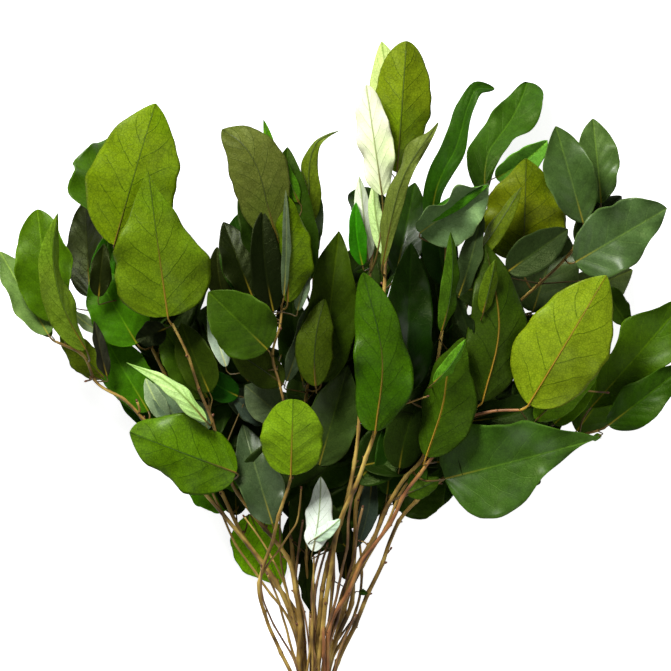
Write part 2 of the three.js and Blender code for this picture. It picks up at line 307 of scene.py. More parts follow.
def woody(name, path, radii, length):
    """The path of a stem with a slight bend at each node, its radii with the nodes' swellings, and
    where its nodes are."""
    draw = random.Random(name)
    places = [draw.uniform(0.01, 0.03)]
    while places[-1] < length - 0.012:
        places.append(places[-1] + draw.uniform(*node_gap))
    places = np.array(places[:-1] or places)
    at = np.linspace(0, length, len(path))
    turn = draw.uniform(0, math.pi)
    side = np.array([math.cos(turn) * node_bend, 0, math.sin(turn) * node_bend])
    zigzag = np.interp(at, places, [(-1) ** k * draw.uniform(0.4, 1.2) for k in range(len(places))])
    swell = sum(node_swelling * np.exp(-(((at - place) / node_length) ** 2)) for place in places)
    return path + np.outer(zigzag * np.clip(at / 0.02, 0, 1), side), radii * (1 + swell), places


def bark_lines(count, length):
    turn = np.tile(np.arange(stem_sides) / stem_sides, count)
    along = np.repeat(np.linspace(0, length, count), stem_sides)
    return np.stack([along * 10, np.abs(turn - 0.5) * 0.02, 0 * turn], 1)


stem_paths = {}
node_points = []  # place, direction out of the bark, and size of each bud
for node in sorted(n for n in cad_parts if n.startswith("stem_")):
    foot, rings, tip = skin_rings(node)
    centres = rings.mean(axis=1)
    if centres[0][1] > centres[-1][1]:
        centres, rings = centres[::-1], rings[::-1]
    thick = np.linalg.norm(rings - rings.mean(axis=1, keepdims=True), axis=2).mean(axis=1)
    count = int(reach_along(centres)[-1] / stem_step)
    path, length = smooth_path(centres, count)
    radii = np.interp(np.linspace(0, 1, count), np.linspace(0, 1, len(thick)), thick)
    stem_paths[node] = path
    path, radii, places = woody(node, path, radii, length)
    draw = random.Random(node + "buds")
    for place in places[2:]:
        k = min(int(place / length * count), count - 2)
        ahead = Vector(path[k + 1] - path[k]).normalized()
        out = ahead.cross(Vector([draw.gauss(0, 1) for _ in range(3)])).normalized()
        point = Vector(path[k]) + out * radii[k] * 0.8
        node_points.append((point, (out + ahead * 0.9).normalized(), draw.uniform(0.6, 1.5)))
    corners, faces = tube(path, radii, stem_sides)
    kinds = [0] * (len(faces) - 2) + [1, 0]
    skin = red_bark if node == "stem_i" else bark
    piece = make_piece(node + "_bark", corners, faces, [skin, cut_wood], kinds)
    give(piece, "bark", bark_lines(count, length), "FLOAT_VECTOR")
    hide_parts(node)
    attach(piece, "root")

# ---------------------------------------------------------------- side shoots
# Thinner shoots that fork off the twelve stems near the band and run up beside them, a few of them
# broken off short, and the leafless twigs between the leaves.
shoots = [  # beside which stem, from and to which share, steps aside and up (mm), radius, bark
    ("b", 0.22, 0.62, (0, -7, -8, -5), (0, 3, 5, 6), 1.1, bark),
    ("c", 0.30, 0.60, (0, -7, -10, -7), (0, 1, 3, 0), 0.9, bark),
    ("e", 0.30, 0.62, (-2, -8, -9, -8), (0, 8, 16, 20), 0.9, bark),
    ("e", 0.34, 0.545, (0, -2, 4, 9), (0, 8, 14, 19), 1.1, brown_bark),
    ("e", 0.22, 0.56, (2, 6, 10, 16), (0, 4, 8, 10), 1.3, bark),
    ("f", 0.28, 0.47, (0, -6, -8, -7), (0, -6, -8, -8), 1.2, brown_bark),
    ("f", 0.18, 0.33, (6, 2, -4, -7), (0, 6, 7, 6), 1.2, brown_bark),
    ("g", 0.26, 0.52, (0, 8, 9, 0), (0, -3, -10, -10), 1.2, brown_bark),
    ("g", 0.20, 0.45, (6, 5, 3, -1), (-4, -5, -8, -12), 1.4, brown_bark),
    ("i", 0.24, 0.50, (0, -3, -12, -24), (0, 4, 2, -4), 1.4, red_bark),
    ("h", 0.24, 0.62, (0, 3, 5, 3), (0, -6, -9, -10), 1.3, bark),
    ("k", 0.20, 0.46, (0, 5, 6, 1), (0, -4, -5, 0), 1.2, bark),
    ("j", 0.18, 0.36, (0, -5, -8, -4), (0, 2, 5, 7), 1.0, brown_bark),
    ("d", 0.42, 0.60, (0, 9, 14, 9), (0, -6, -12, -18), 0.9, bark),
    ("d", 0.16, 0.44, (2, 6, 4, -2), (0, 5, 9, 12), 0.9, brown_bark),
    ("c", 0.16, 0.42, (0, 5, 9, 14), (0, 4, 5, 8), 1.0, bark),
    ("f", 0.14, 0.40, (0, 4, 9, 5), (0, 6, 10, 12), 1.0, bark),
    ("g", 0.14, 0.40, (0, -5, -9, -14), (0, 5, 4, 6), 0.9, bark),
    ("a", 0.16, 0.40, (0, 5, 8, 12), (0, 6, 10, 8), 0.9, brown_bark),
    ("h", 0.14, 0.34, (0, 5, 9, 14), (0, 6, 8, 8), 1.1, brown_bark),
    ("l", 0.18, 0.44, (0, -4, -6, -2), (0, 6, 12, 16), 0.9, bark),
    ("e", 0.20, 0.52, (4, 9, 12, 9), (0, 5, 6, 4), 1.1, brown_bark),
    ("a", 0.20, 0.44, (-2, -6, -7, -3), (0, 4, 4, 6), 1.1, bark),
    ("g", 0.24, 0.50, (4, 12, 16, 12), (0, -8, -14, -20), 1.2, brown_bark),
    ("f", 0.20, 0.46, (0, -3, -5, -4), (0, 3, 4, 3), 1.2, brown_bark),
]
twigs = [  # from which stem and share, middle and end point (mm from there), radius, bark
    ("g", 0.68, (14, -8, 2), (36, -2, 5), 0.8, bark),
    ("i", 1.00, (30, 14, -8), (65, 13, -8), 0.8, bark),
    ("l", 1.00, (6, 8, 20), (15, 16, 38), 0.7, brown_bark),
    ("b", 0.92, (-24, -10, 6), (-48, -8, 8), 0.6, brown_bark),
    ("a", 0.80, (1, 3, 2), (-1, 9, 5), 1.0, bark),
    ("a", 0.90, (-2, -2, 1), (-5, -3, 2), 0.9, bark),
    ("h", 0.45, (-3, 3, 1), (-6, 4, 3), 0.7, bark),
    ("j", 0.50, (2, 1, 1), (4, 4, 2), 0.7, brown_bark),
    ("j", 1.00, (6, 2, 1), (9, 8, 2), 0.6, red_bark),
]
routes = []
for stem, first, last, aside, up, radius, skin in shoots:
    path = stem_paths["stem_" + stem]
    stretch = path[int(first * len(path)) : int(last * len(path))]
    ahead = np.gradient(stretch, axis=0)
    right = np.stack([ahead[:, 1], -ahead[:, 0], 0 * ahead[:, 0]], axis=1)
    right /= np.linalg.norm(right, axis=1, keepdims=True)
    at = np.linspace(0, 3, len(stretch))
    move = right * np.interp(at, range(4), aside)[:, None] + np.outer(np.interp(at, range(4), up), (0, 0, 1))
    line = (stretch + move * 0.001)[np.linspace(0, len(stretch) - 1, 7).astype(int)]
    routes.append((line, radius * 0.001, skin))
for stem, share, middle, end, radius, skin in twigs:
    path = stem_paths["stem_" + stem]
    start = path[min(int(share * len(path)), len(path) - 1)]
    routes.append((start + np.array([(0, 0, 0), middle, end]) * 0.001, radius * 0.001, skin))
shoot_ends = []
for skin in (bark, brown_bark, red_bark):
    corners, faces, lines, kinds, shift = [], [], [], [], 0
    for k, (line, radius, its_skin) in enumerate(routes):
        if its_skin is not skin:
            continue
        _, length = smooth_path(line, 4)
        count = max(int(length / stem_step), 5)
        path, _ = smooth_path(line, count)
        path, radii, places = woody(f"shoot{k}", path, np.linspace(radius, radius * 0.75, count), length)
        shoot_ends.append((Vector(path[-1]), Vector(path[-1] - path[-2]).normalized(), 1.2))
        more, its_faces = tube(path, radii, stem_sides)
        corners.append(more)
        faces += [tuple(i + shift for i in face) for face in its_faces]
        kinds += [0] * (len(its_faces) - 1) + [1]
        lines.append(bark_lines(count, length))
        shift += len(more)
    piece = make_piece("shoots_" + skin.name[5:], np.vstack(corners), faces, [skin, cut_wood], kinds)
    give(piece, "bark", np.vstack(lines), "FLOAT_VECTOR")
    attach(piece, "root")

# ---------------------------------------------------------------- buds
# A small pointed bud, brown and scaly, sits at each node of the stems above the lowest two, and
# one ends each side shoot and leafless twig.
bud_skin = speckled_material("bud_scales", 900, 2, [(0.35, "4a2c1c"), (0.6, "8a5a38")], 0.55)


def tree_with(name, inputs):
    """A geometry node tree with a geometry input and output and the given further inputs."""
    tree = bpy.data.node_groups.new(name, "GeometryNodeTree")
    tree.interface.new_socket("Points", in_out="INPUT", socket_type="NodeSocketGeometry")
    for label, kind in inputs:
        tree.interface.new_socket(label, in_out="INPUT", socket_type=kind)
    tree.interface.new_socket("Shape", in_out="OUTPUT", socket_type="NodeSocketGeometry")
    return tree, tree.nodes, tree.nodes.new("NodeGroupInput").outputs, tree.nodes.new("NodeGroupOutput")


def of_point(nodes, name, kind):
    return add(nodes, "GeometryNodeInputNamedAttribute", {"Name": name}, data_type=kind).outputs["Attribute"]


def grown(name, tree, points, attributes, values):
    """The mesh that a node tree makes from points with attributes, as a piece of its own."""
    carrier = make_piece("carrier", points, [])
    for label, (numbers, kind) in attributes.items():
        give(carrier, label, numbers, kind)
    modifier = carrier.modifiers.new("grow", "NODES")
    modifier.node_group = tree
    for item in tree.interface.items_tree:
        if item.item_type == "SOCKET" and item.in_out == "INPUT" and item.name in values:
            modifier[item.identifier] = values[item.name]
    mesh = bpy.data.meshes.new_from_object(carrier.evaluated_get(bpy.context.evaluated_depsgraph_get()))
    carrier.modifiers.remove(modifier)
    bpy.data.objects.remove(carrier)
    piece = bpy.data.objects.new(name, mesh)
    mesh.name = name
    mesh.polygons.foreach_set("use_smooth", [True] * len(mesh.polygons))
    scene.collection.objects.link(piece)
    return piece


bud_tree, nodes, inputs, end = tree_with(
    "buds", [("Length", "NodeSocketFloat"), ("Width", "NodeSocketFloat"), ("Skin", "NodeSocketMaterial")]
)
ball = add(nodes, "GeometryNodeMeshUVSphere", {"Segments": 7, "Rings": 5, "Radius": 0.5}).outputs["Mesh"]
pointed = add(nodes, "GeometryNodeTransform", {"Geometry": ball, "Translation": (0, 0, 0.3)})
wide, long = inputs["Width"], inputs["Length"]
shape = add(nodes, "ShaderNodeCombineXYZ", {"X": wide, "Y": wide, "Z": long}).outputs["Vector"]
sized = add(nodes, "GeometryNodeTransform", {"Geometry": pointed.outputs["Geometry"], "Scale": shape})
way = {"Vector": of_point(nodes, "out", "FLOAT_VECTOR")}
put = add(
    nodes,
    "GeometryNodeInstanceOnPoints",
    {
        "Points": inputs["Points"],
        "Instance": sized.outputs["Geometry"],
        "Rotation": add(nodes, "FunctionNodeAlignRotationToVector", way, axis="Z").outputs["Rotation"],
        "Scale": of_point(nodes, "size", "FLOAT"),
    },
)
real = add(nodes, "GeometryNodeRealizeInstances", {"Geometry": put.outputs["Instances"]}).outputs["Geometry"]
dressed = add(nodes, "GeometryNodeSetMaterial", {"Geometry": real, "Material": inputs["Skin"]})
plug(end, {"Shape": dressed.outputs["Geometry"]})

places, ways, sizes = zip(*(node_points + shoot_ends))
buds = grown(
    "buds",
    bud_tree,
    places,
    {"out": (ways, "FLOAT_VECTOR"), "size": (sizes, "FLOAT")},
    {"Length": 0.0026, "Width": 0.0015, "Skin": bud_skin},
)
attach(buds, "root")

# ---------------------------------------------------------------- leaves
# Leathery evergreen blades on short stalks: dark, smooth and glossy above, and matt yellow-green
# below, where the midrib and the net of veins stand out. Each is fitted to the solid of its node.
blade_thick = 0.0005


def leaf_pattern():
    """Masks that both faces of a leaf share: midrib, side veins, the net between them, the margin,
    and mottling of a few sizes, one of which is partly the leaf's own tint and partly painted light shining
    through it."""
    group = bpy.data.node_groups.new("leaf pattern", "ShaderNodeTree")
    nodes = group.nodes

    def stepped(value, start, end, first=1, last=0):
        inputs = {"Value": value, "From Min": start, "From Max": end, "To Min": first, "To Max": last}
        return add(nodes, "ShaderNodeMapRange", inputs, interpolation_type="SMOOTHSTEP").outputs["Result"]

    place = given(nodes, "blade")
    aside = maths(nodes, "ABSOLUTE", add(nodes, "ShaderNodeSeparateXYZ", {"Vector": place}).outputs["X"])
    line = add(nodes, "ShaderNodeSeparateXYZ", {"Vector": given(nodes, "veins")}).outputs
    bent = maths(nodes, "MULTIPLY_ADD", noise(nodes, place, 70, 3), 0.3, line["X"])
    vein = stepped(maths(nodes, "PINGPONG", bent, 0.5), 0, 0.04)
    masks = {
        "Midrib": stepped(aside, 0.0002, 0.0009),
        "Side veins": maths(nodes, "MULTIPLY", vein, stepped(line["Y"], 0.95, 0.55, 0, 1)),
        "Margin": stepped(line["Y"], 0.93, 0.995, 0, 1),
        "Near stalk": stepped(line["Z"], 0, 1),
        "Mottle": noise(nodes, place, 90, 8, 0.8),
        # patches tinted a more saturated green: partly the leaf's own uneven colour, partly painted light
        # shining through the leaf
        "Patch": stepped(noise(nodes, place, 16, 1), 0.48, 0.64, 0, 1),
        "Shine": stepped(noise(nodes, place, 34, 2), 0.42, 0.72, 0, 1),
    }
    for label, scale, width in (("Net", 190, 0.05), ("Fine net", 480, 0.2)):
        inputs = {"Vector": place, "Scale": scale}
        cells = add(nodes, "ShaderNodeTexVoronoi", inputs, feature="DISTANCE_TO_EDGE")
        masks[label] = stepped(cells.outputs["Distance"], 0, width)
    for label in masks:
        group.interface.new_socket(label, in_out="OUTPUT", socket_type="NodeSocketFloat")
    plug(nodes.new("NodeGroupOutput"), masks)
    return group


pattern = leaf_pattern()


def leaf_face(name, shade, layers, vein_height, sheen, sheen_tint):
    """The skin of one face: the leaf's own shade, mottled, with the layers of its pattern over it.
    A layer names a mask, how strong it is, and the tint that it multiplies the shade by, or the
    colour that it lays over it."""
    material, nodes, shader = new_material(name)
    masks = add(nodes, "ShaderNodeGroup", node_tree=pattern).outputs
    marked = given(nodes, "marked", "Fac")
    cloud = ramp(nodes, masks["Mottle"], [(0.36, "d2d2d2"), (0.5, "eeeeee"), (0.62, "ffffff")])
    colour = mixed(nodes, "MULTIPLY", marked, given(nodes, shade, "Color"), cloud)
    for mask, amount, tint in layers:
        strength = maths(nodes, "MULTIPLY", masks[mask], amount)
        if "net" in mask.lower():
            strength = maths(nodes, "MULTIPLY", strength, marked)
        if mask == "Near stalk":
            strength = maths(nodes, "MULTIPLY", strength, masks["Midrib"])
        laid_over = isinstance(tint, str)
        tint = linear(tint) if laid_over else tint + (1,)
        colour = mixed(nodes, "MIX" if laid_over else "MULTIPLY", strength, colour, tint)
    height = 0
    for mask, weight in (("Fine net", 0.35), ("Net", 0.6), ("Side veins", 1.0)):
        height = maths(nodes, "MULTIPLY_ADD", masks[mask], weight, height)
    rough = add(nodes, "ShaderNodeMapRange", {"Value": masks["Mottle"], "To Min": 0.36, "To Max": 0.5})
    settings = {
        "Base Color": colour,
        "Normal": relief(nodes, height, abs(vein_height), 0.0003, sunken=vein_height < 0),
        "Roughness": rough.outputs["Result"],
        "Coat Weight": maths(nodes, "MULTIPLY", given(nodes, "gloss", "Fac"), masks["Shine"]),
        "Coat Roughness": 0.34,
        "Specular IOR Level": sheen,
        "Specular Tint": sheen_tint + (1,),
    }
    plug(shader, settings)
    return material


leaf_upper = leaf_face(
    "leaf_upper",
    "upper_shade",
    [
        # patches of a more saturated green: partly own colour, partly painted light coming through the leaf
        ("Patch", 0.45, (0.8, 0.95, 0.6)),
        ("Fine net", 0.5, (0.66, 0.72, 0.62)),
        ("Net", 0.4, (0.62, 0.68, 0.6)),
        ("Side veins", 0.6, (1.5, 1.4, 1.2)),
        ("Midrib", 0.7, (1.9, 1.7, 1.2)),
        ("Near stalk", 0.6, "a08a24"),
        # a painted highlight: the upper face lightened along its margin, as a curled edge catches the light
        ("Margin", 0.6, (1.9, 1.7, 1.5)),
    ],
    vein_height=-0.4,
    sheen=0.14,
    sheen_tint=(0.8, 1.0, 0.35),
)
leaf_under = leaf_face(
    "leaf_under",
    "under_shade",
    [
        # patches of a more saturated green: partly own colour, partly painted light coming through the leaf
        ("Patch", 0.5, (0.74, 0.96, 0.5)),
        ("Fine net", 0.8, (0.66, 0.72, 0.5)),
        ("Net", 0.5, (0.5, 0.58, 0.4)),
        ("Side veins", 0.9, (0.34, 0.42, 0.26)),
        ("Midrib", 0.8, (0.45, 0.5, 0.3)),
        ("Near stalk", 0.9, "b88a20"),
        ("Margin", 0.6, (0.75, 0.68, 0.55)),
    ],
    vein_height=0.45,
    sheen=0.16,
    sheen_tint=(0.85, 1.0, 0.35),
)
leaf_rib, nodes, shader = new_material("leaf_rib")
rib_along = add(nodes, "ShaderNodeSeparateXYZ", {"Vector": given(nodes, "veins")}).outputs["Z"]
rib_reach = add(nodes, "ShaderNodeMapRange", {"Value": rib_along, "To Min": 0.95, "To Max": 0.0})
rib_hue = mixed(nodes, "MIX", given(nodes, "orange", "Fac"), linear("5e4a1a"), linear("c09428"))
rib_dark = mixed(nodes, "MULTIPLY", 1.0, given(nodes, "under_shade", "Color"), (0.42, 0.48, 0.25, 1))
rib_colour = mixed(nodes, "MIX", rib_reach.outputs["Result"], rib_dark, rib_hue)
plug(shader, {"Base Color": rib_colour, "Roughness": 0.45})


def outline(s, blunt, taper):
    """The width of a blade at share s of its length, 1 where it is widest."""

    def shape(x):
        return x**blunt * (1 - x) ** taper

    return shape(s) / shape(blunt / (blunt + taper))


def leaf_plan(stalk, line, offsets, up, blunt, taper):
    """What leaf_body needs: the stalk's points, the midrib's line and how far along each point is,
    the offsets of the blade from it, the way the upper face looks, and each half's outline."""
    reach = reach_along(line)
    plan = {"stalk": stalk, "line": line, "places": reach / reach[-1], "length": reach[-1]}
    shape = {"blunt": blunt, "taper": taper, "halves": [(blunt, taper, 1)] * 2}
    return {**plan, **shape, "offsets": offsets, "up": up}


def read_leaf(node):
    """The plan of a CAD leaf, from the corners of its rings."""
    foot, rings, tip = skin_rings(node)
    stalk, blade = rings[:3], rings[3:]

    def sharpness(k):
        one = blade[:, (k + 1) % ring_sides] - blade[:, k]
        other = blade[:, (k - 1) % ring_sides] - blade[:, k]
        return ((one * other).sum(1) / np.linalg.norm(one, axis=1) / np.linalg.norm(other, axis=1)).sum()

    edge = max(range(4), key=lambda k: sharpness(k) + sharpness(k + 4))
    best = None
    for start in (edge, edge + 4):
        turned = blade[:, [(start + k) % ring_sides for k in range(ring_sides)]]
        up = turned[:, 2] - turned[:, 6]
        up /= np.linalg.norm(up, axis=1, keepdims=True)
        above = turned[:, 2] - (turned[:, 1] + turned[:, 3]) / 2
        below = turned[:, 6] - (turned[:, 5] + turned[:, 7]) / 2
        dip = ((above + below) * up).sum()
        if best is None or dip < best[0]:
            best = (dip, turned, up)
    _, turned, up = best
    middle = turned[:, 2] - up * 0.00035
    left, right = (turned[:, 1] + turned[:, 7]) / 2, (turned[:, 3] + turned[:, 5]) / 2
    halves = np.stack([turned[:, 0], left, right, turned[:, 4]], axis=1)
    base = middle[0] + (middle[0] - middle[1]) * 0.25
    line = np.vstack([base, middle, tip])
    reach = reach_along(line)
    inner = (reach / reach[-1])[1:-1]
    width = np.linalg.norm(halves[:, 3] - halves[:, 0], axis=1)
    terms = np.stack([np.log(inner), np.log(1 - inner), np.ones(len(inner))], axis=1)
    blunt, taper, _ = np.linalg.lstsq(terms, np.log(width), rcond=None)[0]
    blunt, taper = max(blunt, 0.3), max(taper, 0.3)
    offsets = (halves - middle[:, None]) / outline(inner, blunt, taper)[:, None, None]
    return leaf_plan(np.vstack([foot, stalk.mean(axis=1)]), line, offsets, up, blunt, taper)


def spread(values, places, at):
    """Smooth values between places: a cubic through each pair, with slopes from its neighbours."""
    values = np.asarray(values, float)
    flat = values.reshape(len(values), -1)
    slopes = np.gradient(flat, places, axis=0)
    k = np.clip(np.searchsorted(places, at, side="right") - 1, 0, len(places) - 2)
    span = places[k + 1] - places[k]
    t = np.clip((at - places[k]) / span, 0, 1)[:, None]
    span = span[:, None]
    out = (
        (2 * t**3 - 3 * t**2 + 1) * flat[k]
        + (t**3 - 2 * t**2 + t) * span * slopes[k]
        + (3 * t**2 - 2 * t**3) * flat[k + 1]
        + (t**3 - t**2) * span * slopes[k + 1]
    )
    return out.reshape((len(at),) + values.shape[1:])


upper_skin, under_skin, rib_skin = 0, 1, 2  # the kinds of face of a leaf, as its materials' slots
rib_sides = 6
stalk_steps = 12


def leaf_body(
    plan, seed, rows=46, half_columns=12, wave=0.0024, lobes=0.0, rib_reach=0.3, gloss=0.0, stalk_width=0.001
):
    """Corners, faces and attributes of a closed blade with its midrib and stalk. Its faces have
    three kinds: the upper skin, the skin below, and the midrib with the stalk."""
    draw = random.Random(seed)
    s = 0.5 - 0.5 * np.cos(math.pi * (0.035 + 0.945 * np.linspace(0, 1, rows)))  # closer at the ends
    s[0] = 0.004
    middle = spread(plan["line"], plan["places"], s)
    offsets = spread(plan["offsets"], plan["places"][1:-1], s)
    length = plan["length"]
    width = np.linalg.norm(offsets[:, 3] - offsets[:, 0], axis=1).mean()
    profile = outline(s, plan["blunt"], plan["taper"])
    halves = [outline(s, blunt, taper) * share for blunt, taper, share in plan["halves"]]

    u = np.linspace(-1, 1, 2 * half_columns + 1)
    ripple = [(draw.uniform(1.2, 3.4), draw.uniform(0, 6.28), draw.uniform(0.5, 1)) for _ in range(3)]
    wobble = [(draw.uniform(1.2, 2.4), draw.uniform(0, 6.28)) for _ in range(2)]
    veins = draw.choice((5, 6, 6, 7))
    grid = np.zeros((rows, len(u), 3))
    phase = np.zeros((rows, len(u)))
    across = np.zeros((rows, len(u)))
    for j, side in enumerate(u):
        edge, inner = (offsets[:, 0], offsets[:, 1]) if side < 0 else (offsets[:, 3], offsets[:, 2])
        bend = 2 * (edge - 2 * inner)
        a = abs(side)
        pace, start = wobble[int(side > 0)]
        fade = np.sin(math.pi * s)
        # an uneven margin, with fine teeth about 4 mm apart
        bulge = (0.035 + lobes) * np.sin(pace * 6.28 * s + start)
        bulge += 0.02 * np.sin(2.7 * pace * 6.28 * s + 2 * start)
        teeth = 1 + 0.006 * np.sin(6.28 * s * length / 0.0042 + start) * (a > 0.99)
        share = halves[int(side > 0)] * (1 + bulge * fade) * teeth
        grid[:, j] = middle + share[:, None] * ((edge - bend) * a + bend * a * a)
        phase[:, j] = veins * (s**0.9 - 0.34 * a**1.05 * (1 - 0.4 * s)) + (0.45 if side > 0 else 0)
        across[:, j] = side * share * width / 2
    normals = np.cross(np.gradient(grid, axis=1), np.gradient(grid, axis=0))
    normals /= np.linalg.norm(normals, axis=2, keepdims=True) + 1e-12
    up = spread(plan["up"], plan["places"][1:-1], s)
    normals *= np.sign((normals * up[:, None]).sum(axis=2, keepdims=True).sum(axis=1, keepdims=True))

    a = np.abs(u)[None, :]
    reach = np.abs(across)
    fade = np.clip(profile, 0, 1)[:, None] ** 0.7
    between = 0.5 - 0.5 * np.cos(2 * math.pi * (phase + 0.17))
    # the blade rises between its side veins, waves at the margin and sinks along the midrib
    puff = 0.0005 * between * np.sin(math.pi * np.clip(a * 1.02, 0, 1)) ** 0.7 * fade
    waves = sum(w * np.sin(f * 6.28 * s[:, None] + p + 1.7 * np.sign(u)[None, :]) for f, p, w in ripple)
    groove = 0.0003 * np.exp(-((reach / 0.0008) ** 2))
    lift = puff + (wave + lobes * 0.02) * waves * a**2.6 * fade - groove * fade
    centre = grid + normals * lift[..., None]
    thin = blade_thick / 2 * np.clip(0.35 + 0.65 * (1 - a**8), 0, 1)
    top = centre + normals * thin[..., None]
    bottom = centre - normals * thin[..., None]

    columns = len(u)
    faces, kinds = [], []
    count = rows * columns
    last = 2 * count
    for i in range(rows - 1):
        for j in range(columns - 1):
            q = i * columns + j
            faces.append((q, q + 1, q + 1 + columns, q + columns))
            faces.append((count + q, count + q + columns, count + q + 1 + columns, count + q + 1))
            kinds += [upper_skin, under_skin]
        for q in (i * columns, i * columns + columns - 1):
            faces.append((q, q + columns, count + q + columns, count + q))
            kinds.append(upper_skin)
    for j in range(columns - 1):
        q = (rows - 1) * columns + j
        faces.append((q, q + 1, last))
        faces.append((count + q + 1, count + q, last))
        faces.append((j, j + 1, count + j + 1, count + j))
        kinds += [upper_skin, under_skin, under_skin]
    for q in (count - columns, count - 1):
        faces.append((q, last, count + q))
        kinds.append(upper_skin)

    # the stalk, and the midrib that it runs on into under the blade
    rib_places = np.linspace(0.02, 0.94, max(rows // 2, 8))
    rib_radius = 0.00034 * (1 - rib_places) ** 0.8 + 0.00008
    rib_line = spread(plan["line"], plan["places"], rib_places)
    rib_up = spread(plan["up"], plan["places"][1:-1], rib_places)
    rib_up /= np.linalg.norm(rib_up, axis=1, keepdims=True)
    rib_line = rib_line - rib_up * (rib_radius + blade_thick / 2)[:, None]
    stalk = plan["stalk"]
    inwards = (stalk[1] - stalk[0]) / (np.linalg.norm(stalk[1] - stalk[0]) + 1e-9)
    stalk_path, _ = smooth_path(np.vstack([stalk[0] - inwards * 0.0012, stalk[1:], rib_line[0]]), stalk_steps)
    rib_path = np.vstack([stalk_path[:-1], rib_line])
    radii = np.concatenate([np.linspace(0.9, 0.6, stalk_steps - 1) * stalk_width, rib_radius])
    rib_corners, rib_faces = tube(rib_path, radii, rib_sides)
    faces += [tuple(i + last + 1 for i in face) for face in rib_faces]
    kinds += [rib_skin] * len(rib_faces)

    place = random.Random(str(seed) + "place").uniform(0, 10)
    along = np.repeat(s, columns)
    rib_along = np.repeat(np.concatenate([np.zeros(stalk_steps - 1), rib_places]), rib_sides)
    flat = np.stack([across.reshape(-1), along * length, np.full(count, place)], axis=1)
    rib_flat = np.stack([0 * rib_along, rib_along * length, 0 * rib_along], axis=1)
    lines = np.stack([phase.reshape(-1), np.abs(np.tile(u, rows)), along / rib_reach], axis=1)
    rib_lines = np.stack([0 * rib_along, 0 * rib_along, rib_along / rib_reach], axis=1)
    return {
        "corners": np.vstack([top.reshape(-1, 3), bottom.reshape(-1, 3), plan["line"][-1:], rib_corners]),
        "faces": faces,
        "kinds": kinds,
        "blade": np.vstack([flat, flat, [[0, length, place]], rib_flat]),
        "veins": np.vstack([lines, lines, [[phase[-1, half_columns], 0, 1 / rib_reach]], rib_lines]),
        "gloss": gloss,
        "orange": np.clip(rib_reach * 2.5 - 0.8, 0, 1),
        "grid": grid,
    }


def both_shades(code, upper_seen):
    """The shades of the upper face and of the face below, from that of the one that is seen."""
    seen = np.array(linear(code)[:3])
    if upper_seen:
        return seen, 0.5 * seen + 0.5 * np.array(linear("6f8a20")[:3])
    return 0.35 * seen + 0.65 * np.array(linear("24400f")[:3]), seen


def leaf_piece(name, bodies, shades):
    """One piece of one or more leaves, each with the shades of its two faces."""
    shift, faces, kinds = 0, [], []
    for body, pair in zip(bodies, shades):
        faces += [tuple(i + shift for i in face) for face in body["faces"]]
        kinds += body["kinds"]
        shift += len(body["corners"])
        body["upper_shade"], body["under_shade"] = pair
        # pale leaves, whose near-white colour is painted highlight, get a fainter pattern
        body["marked"] = np.clip(1.5 - 1.5 * max(shade.mean() for shade in pair), 0.2, 1)  # less if pale
    corners = np.vstack([body["corners"] for body in bodies])
    piece = make_piece(name, corners, faces, [leaf_upper, leaf_under, leaf_rib], kinds)
    for key in ("blade", "veins"):
        give(piece, key, np.vstack([body[key] for body in bodies]), "FLOAT_VECTOR")
    for key in ("upper_shade", "under_shade"):
        rows = [np.tile(body[key], (len(body["corners"]), 1)) for body in bodies]
        give(piece, key, np.vstack(rows), "FLOAT_VECTOR")
    for key in ("gloss", "orange", "marked"):
        give(piece, key, np.concatenate([np.full(len(body["corners"]), body[key]) for body in bodies]))
    right_way_out(piece)
    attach(piece, "root")
    return piece


reshaped = {  # where the halves of a real blade, left and right of its midrib, differ from its solid:
    # how blunt the base is, how drawn-out the tip, and the share of the solid's width
    "a1": ((0.55, 0.85, 0.85), (0.55, 0.85, 1.0)),
    "a3": ((0.55, 0.85, 1.15), (0.55, 0.85, 1.2)),
    "b2": ((0.5, 1.0, 1.15), (0.55, 0.7, 1.0)),
    "b6": ((0.55, 0.85, 1.0), (0.55, 0.85, 1.3)),
    "c1": ((0.42, 1.08, 1.0), (0.5, 1.5, 1.0)),
    "c4": ((0.45, 0.8, 1.0), (0.45, 0.5, 1.0)),
    "d1": ((0.6, 0.62, 1.08), (0.9, 0.75, 1.06)),
    "d4": ((0.55, 0.85, 0.8), (0.55, 0.85, 1.0)),
    "g2": ((0.55, 0.6, 1.1), (0.55, 0.6, 0.55)),
    "h1": ((0.45, 0.6, 0.9), (0.45, 0.6, 0.7)),
    "h4": ((0.34, 1.0, 1.0), (0.8, 2.3, 1.13)),
    "j1": ((0.55, 0.85, 0.75), (0.55, 0.85, 0.85)),
    "k3": ((0.6, 0.65, 1.0), (0.5, 0.95, 0.95)),
    "k6": ((0.55, 0.85, 0.7), (0.55, 0.85, 1.0)),
    "l1": ((0.5, 0.6, 1.15), (1.2, 0.4, 1.45)),
}
# Each leaf's colour is its look in the light as well as its own colour: f1 and c3 are painted near white, the
# highlight of leaves that face the lamp; b3, d4 and h3 are near black, partly painted deep shade; b5, b6 and
# h2 are painted brighter to make up for the shade they lie in.
leaf_colours_and_light = {  # the face that looks up, stem by stem, from each stem's tip downwards
    "a": "6a8840 4e7206 7c9a24 407406",
    "b": "7a940c 406408 161c02 407404 5ea006 a8f010",
    "c": "6c8810 3f5c0c d8ffa0 5e8706 465838",
    "d": "5e6628 5a7404 3a560c 141c04 5c6c48 84aa16",
    "e": "6c8018 3a5008 3c5020",
    "f": "fcffd8 244206",
    "g": "7c9010 6c7a30 406804",
    "h": "2e580a 7c9c64 122c02 40641c",
    "i": "90a818 364e08 3c5a08",
    "j": "305206 4c7008 345008 34500a",
    "k": "4a6430 506c30 4e6a36 707c0a 4c6030 5a6c34",
    "l": "3a6010",
}
